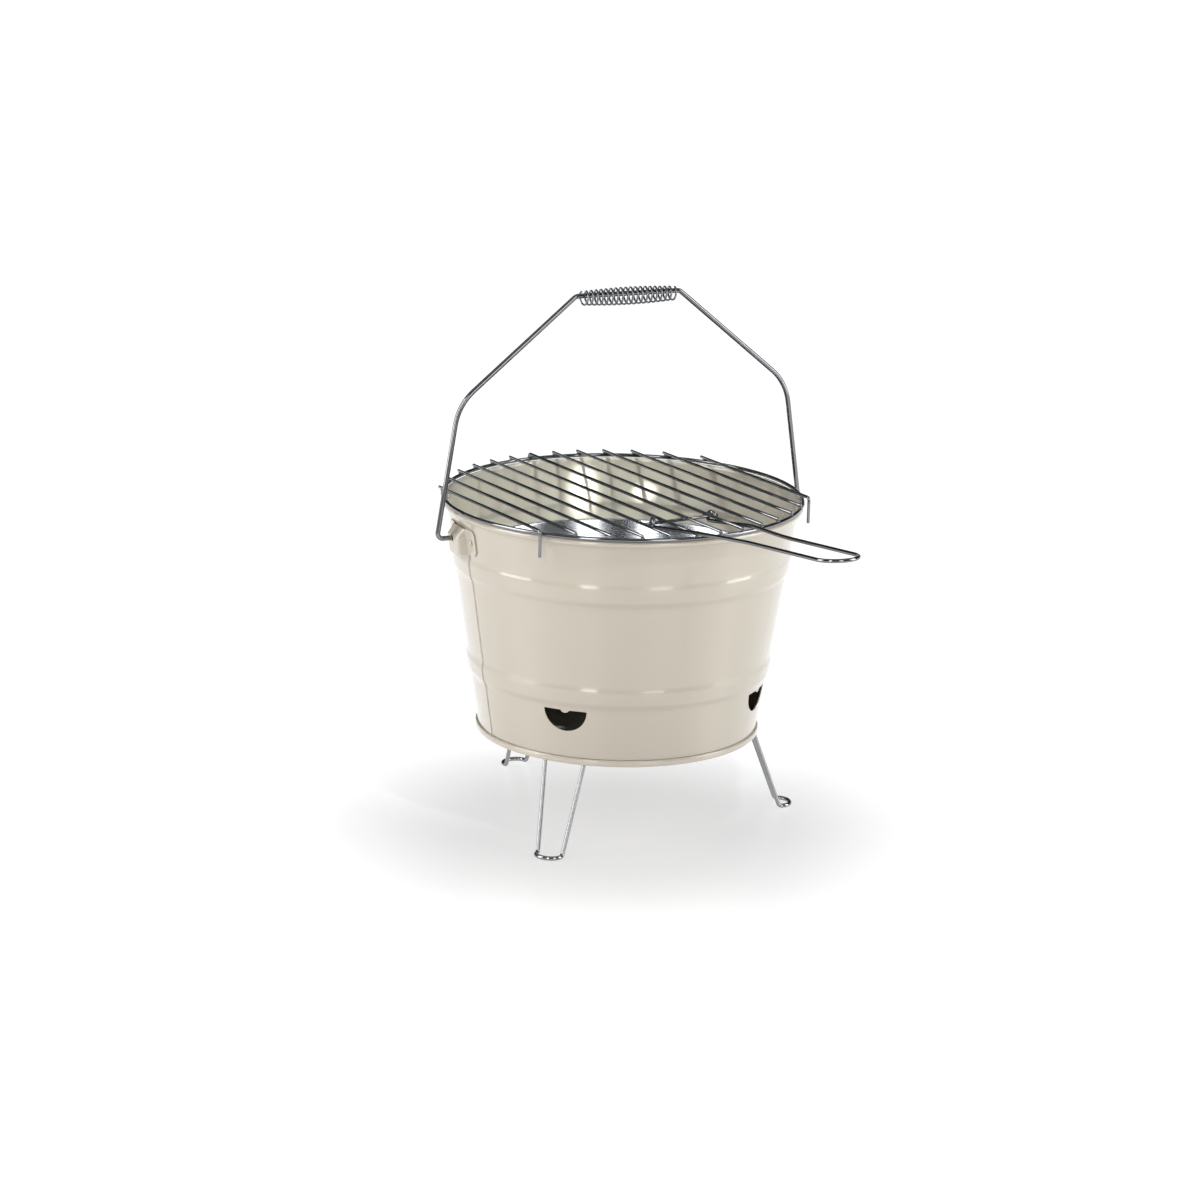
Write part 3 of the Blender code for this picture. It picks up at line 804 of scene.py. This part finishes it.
# ---------------------------------------------------------------- legs
def build_leg(place, azimuth):
    """A folding leg, one closed loop of wire, in its riveted clip under the base."""
    stand = around(azimuth) @ shift(LEG_PIVOT_RADIUS, 0, LEG_PIVOT_Z)
    drop = LEG_PIVOT_Z - LEG_WIRE
    foot_x = drop * tan(radians(LEG_SPLAY))
    toe_from, toe_reach = LEG_TOE
    top = (Vector((0, LEG_TOP_HALF, 0)), LEG_BEND)
    heel = (Vector((foot_x, LEG_FOOT_HALF, -drop)), LEG_BEND)
    toe = []
    for a in (pi * k / 24 for k in range(25)):
        x = foot_x + toe_from + toe_reach * sin(a)
        toe.append((Vector((x, LEG_FOOT_HALF * cos(a), -drop)), 0))
    mirrored = [(Vector((p.x, -p.y, p.z)), r) for p, r in (heel, top)]
    line = rounded([top, heel] + toe + mirrored, closed=True)
    wire("folding_leg_" + place, line, LEG_WIRE - SHAVE, "leg_" + place, ["leg_" + place],
         closed=True, matrix=stand, sides=24, mat=ZINC)

    hold = LEG_WIRE + CLIP_PLAY + CLIP_SHEET / 2
    foot_y = BASE_Z - GAP - CLIP_SHEET / 2 - LEG_PIVOT_Z
    path = arc((0, 0), hold, 20, -200, 22)
    path += [(-0.0036, foot_y - 0.0004), (-0.0046, foot_y), (-0.0060, foot_y),
             (-0.0120, foot_y), (-CLIP_REACH, foot_y)]
    verts, faces = sheet(path, CLIP_SHEET, (-CLIP_HALF_WIDTH, CLIP_HALF_WIDTH), CLIP_CORNER)
    clip = piece("clip_" + place, verts, faces, STEEL, "bucket", ["leg_clip_" + place],
                 stand @ turned(90, "X"))
    seat = stand @ shift(-CLIP_RIVET_AT, 0, foot_y - CLIP_SHEET / 2) @ turned(180, "X")
    carve(clip, *hole(RIVET_HOLE, RIVET_CUT), seat)
    carve(BASE, *hole(RIVET_HOLE, RIVET_CUT), seat)
    rivet("clip_rivet_" + place, STEEL, seat, "leg_rivet_" + place)


# ---------------------------------------------------------------- pan
def build_pan():
    """The charcoal pan, with its flank, turned-down lip and rings of air holes."""
    t, lip, foot = PAN_SHEET, PAN_LIP, PAN_FOOT
    floor, top, skirt = PAN_FLOOR_Z, PAN_TOP_Z, PAN_SKIRT_Z
    curl = (lip - PAN_CURL, top - PAN_CURL)
    outer_lip = arc(curl, PAN_CURL, 165, 0, 10)
    inner_lip = arc(curl, PAN_CURL - t, 0, 165, 8)
    profile = [(0, floor + t), (foot - 0.0008, floor + t), (foot, floor + t + 0.0002),
               (foot + 0.0007, floor + t + 0.0007), (foot + 0.0010, floor + 0.0021)]
    profile += outer_lip + [(lip, skirt), (lip - t, skirt)] + inner_lip
    profile += [(foot + 0.0018, floor + 0.0018), (foot + 0.0015, floor + 0.0008),
                (foot + 0.0008, floor + 0.0002), (foot, floor), (0, floor)]
    verts, faces = lathe(profile)
    pan = piece("steel_pan", verts, faces, STEEL, "pan", ["charcoal_pan"])
    cuts = []
    for radius, count in PAN_HOLES:
        for a in map(radians, degrees_round(count, PAN_HOLE_START)):
            cuts.append(hole(PAN_HOLE_RADIUS, 0.003, 24, (radius * cos(a), radius * sin(a))))
    carve(pan, *joined(cuts), shift(0, 0, floor))


WALL = build_wall()
BASE = build_base()
build_ear("right", 0)
build_ear("left", 180)
build_bail()
build_grip()
build_grate()
build_handle()
for leg_place, leg_azimuth in LEG_AZIMUTHS.items():
    build_leg(leg_place, leg_azimuth)
build_pan()


# ---------------------------------------------------------------- stage
FLOOR_HALF = 20.0
# the floor's colour is a shade darker round the object: painted shadow
FLOOR_NEAR_PAINTED_SHADOW, FLOOR_FAR = (0.19, 0.19, 0.19), (0.22, 0.22, 0.22)
FLOOR_SHADOW_FADE = (0.08, 0.30)         # from the painted soft shadow round the object to the white floor
# the floor glows as painted light, dimmer round the object as painted shadow
FLOOR_PAINTED_GLOW = (0.61, 0.99)
FLOOR_FRONT_PAINTED_SHADE = (0.75, 1.25, 1.0, 0.40)    # from, to: the glow's share that reflections see, dimmer towards the viewer: painted shade
SHADE_AHEAD = 0.05                # how far the painted shadow patch lies towards the viewer

SKY_COLOUR = (0.93, 0.97, 1, 1)
SKY_HORIZON = (0.0, 0.12)         # heights between which the bright horizon dies away
SKY_FRONT = (-0.1, 0.6)
SKY_ZENITH = (0.5, 0.8)
SKY_MIDDLE, SKY_BEHIND_VIEWER, SKY_TOP = 0.05, 0.10, 0.35
SKY_BACKDROP = 1.1

LIGHT_AIM = (0, 0, 0.18)
SNOOT_BLEND = 0.3


def toward(azimuth, elevation):
    """The way from the object to a viewer, with angles as in the views."""
    a, e = radians(azimuth), radians(elevation)
    return Vector((sin(a) * cos(e), -cos(a) * cos(e), sin(e)))


def ahead(tree, where):
    """How far a place lies towards the photograph's viewer."""
    along = tree.nodes.new("ShaderNodeVectorMath")
    along.operation = "DOT_PRODUCT"
    tree.links.new(where, along.inputs[0])
    along.inputs[1].default_value = toward(VIEW_AZIMUTH, 0)
    return along.outputs["Value"]


def build_floor():
    """A pale glowing floor with a painted soft shadow round the object, white further out, clear
    from below.
    """
    mesh = bpy.data.meshes.new("floor")
    half = FLOOR_HALF
    mesh.from_pydata([(-half, -half, 0), (half, -half, 0), (half, half, 0), (-half, half, 0)],
                     [], [(0, 1, 2, 3)])
    floor = bpy.data.objects.new("floor", mesh)
    bpy.context.scene.collection.objects.link(floor)
    mat, tree, shader, node = material("pale_floor_painted_shadow")
    where = node("ShaderNodeTexCoord").outputs["Object"]
    reach = node("ShaderNodeVectorMath", Vector=where)
    reach.operation = "DISTANCE"
    reach.inputs[1].default_value = toward(VIEW_AZIMUTH, 0) * SHADE_AHEAD
    # painted shadow: the floor greys and glows less round the object, by distance
    shadow_fade = ease(tree, reach.outputs["Value"], *FLOOR_SHADOW_FADE, 0.0, 1.0)
    tree.links.new(mix_colour(tree, shadow_fade, FLOOR_NEAR_PAINTED_SHADOW, FLOOR_FAR), shader.inputs["Base Color"])
    shader.inputs["Roughness"].default_value = 0.3
    shader.inputs["Specular IOR Level"].default_value = 0.3
    seen = node("ShaderNodeLightPath").outputs["Is Camera Ray"]
    # painted shade: reflections see the glow dim towards the viewer; the camera sees it whole
    front_shade_share = maths(tree, "MAXIMUM", ease(tree, ahead(tree, where), *FLOOR_FRONT_PAINTED_SHADE), seen)
    # painted light: the floor's glow, dimmer round the object as painted shadow
    painted_glow = maths(tree, "MULTIPLY", spread(node, shadow_fade, *FLOOR_PAINTED_GLOW), front_shade_share)
    shader.inputs["Emission Color"].default_value = (1, 1, 1, 1)
    tree.links.new(painted_glow, shader.inputs["Emission Strength"])
    from_below = node("ShaderNodeMixShader",
                      Fac=node("ShaderNodeNewGeometry").outputs["Backfacing"])
    tree.links.new(shader.outputs[0], from_below.inputs[1])
    tree.links.new(node("ShaderNodeBsdfTransparent").outputs[0], from_below.inputs[2])
    tree.links.new(from_below.outputs[0], tree.nodes["Material Output"].inputs["Surface"])
    mesh.materials.append(mat)


def build_world():
    """A studio: bright low down at the sides and back, dim overhead and behind the viewer.

    Seen directly it is one plain white backdrop.
    """
    world = bpy.data.worlds.new("studio")
    bpy.context.scene.world = world
    world.use_nodes = True
    tree = world.node_tree
    where = tree.nodes.new("ShaderNodeTexCoord").outputs["Generated"]
    split = tree.nodes.new("ShaderNodeSeparateXYZ")
    tree.links.new(where, split.inputs[0])
    height = split.outputs["Z"]
    horizon = ease(tree, height, *SKY_HORIZON, 1.0, SKY_MIDDLE)
    facing = ease(tree, ahead(tree, where), *SKY_FRONT, 1.0, SKY_BEHIND_VIEWER)
    zenith = ease(tree, height, *SKY_ZENITH, 0.0, SKY_TOP)
    total = maths(tree, "MULTIPLY_ADD", horizon, facing, zenith)
    seen = tree.nodes.new("ShaderNodeLightPath").outputs["Is Camera Ray"]
    back = tree.nodes["Background"]
    back.inputs["Color"].default_value = SKY_COLOUR
    tree.links.new(maths(tree, "MULTIPLY_ADD", seen, SKY_BACKDROP, total),
                   back.inputs["Strength"])


def hang(light, aim, azimuth, elevation, distance):
    """Put a light at a distance from the point it looks at, out of the camera's sight."""
    back = toward(azimuth, elevation)
    lamp = bpy.data.objects.new(light.name, light)
    bpy.context.scene.collection.objects.link(lamp)
    lamp.location = aim + back * distance
    lamp.rotation_euler = (-back).to_track_quat("-Z", "Y").to_euler()
    lamp.visible_camera = False
    return lamp


def softbox(name, azimuth, elevation, distance, size, power):
    """An area light that looks at the object from a direction given as in the views."""
    light = bpy.data.lights.new(name, "AREA")
    light.shape = "RECTANGLE"
    light.size, light.size_y = size
    light.energy = power
    hang(light, Vector(LIGHT_AIM), azimuth, elevation, distance)


def snoot(name, aim, azimuth, elevation, distance, cone_angle, power, colour, narrow=1.0,
          soft=0.10):
    """A soft-edged spot that lights only part of the bucket's inside.

    It is aimed at a point given as right, away and up in the photographed view.
    """
    light = bpy.data.lights.new(name, "SPOT")
    light.energy = power
    light.color = colour
    light.spot_size = radians(cone_angle)
    light.spot_blend = SNOOT_BLEND
    light.shadow_soft_size = soft
    lamp = hang(light, around(VIEW_AZIMUTH) @ Vector(aim), azimuth, elevation, distance)
    lamp.scale = (narrow, 1, 1)
    lamp.visible_glossy = False


def build_camera():
    """The photograph's view."""
    back = toward(VIEW_AZIMUTH, VIEW_ELEVATION)
    a, r = radians(VIEW_AZIMUTH), radians(VIEW_ROLL)
    level = Vector((cos(a), sin(a), 0))
    upright = back.cross(level)
    right = level * cos(r) + upright * sin(r)
    up = upright * cos(r) - level * sin(r)
    camera = bpy.data.cameras.new("photo_view")
    camera.lens = VIEW_LENS
    camera.sensor_width = 36
    camera.shift_x, camera.shift_y = VIEW_SHIFT
    camera.clip_end = 50
    thing = bpy.data.objects.new("photo_view", camera)
    bpy.context.scene.collection.objects.link(thing)
    turn = Matrix((right, up, back)).transposed().to_4x4()
    thing.matrix_world = Matrix.Translation(VIEW_TARGET + back * VIEW_DISTANCE) @ turn
    bpy.context.scene.camera = thing


build_floor()
build_world()
softbox("left", -97, 22, 1.8, (0.8, 1.4), 20)
softbox("right", 58, 21, 1.8, (0.7, 1.4), 17)
softbox("front_left", -45, 20, 2.1, (0.37, 1.5), 11)
softbox("front_right", 1, 20, 2.1, (0.55, 1.4), 9)
snoot("into_bucket", (0, 0.025, 0.2402), 0, 65, 1.6, 7.5, 310, (0.86, 1.0, 0.97))
snoot("inner_left", (-0.034, 0.128, 0.215), 5, 15, 1.6, 1.5, 480, (0.95, 0.97, 1.0), narrow=0.45,
      soft=0.007)
snoot("inner_right", (0.014, 0.130, 0.215), 5, 18, 0.9, 1.0, 125, (0.95, 0.97, 1.0),
      soft=0.003)
build_camera()
bpy.context.scene.view_settings.view_transform = "Standard"
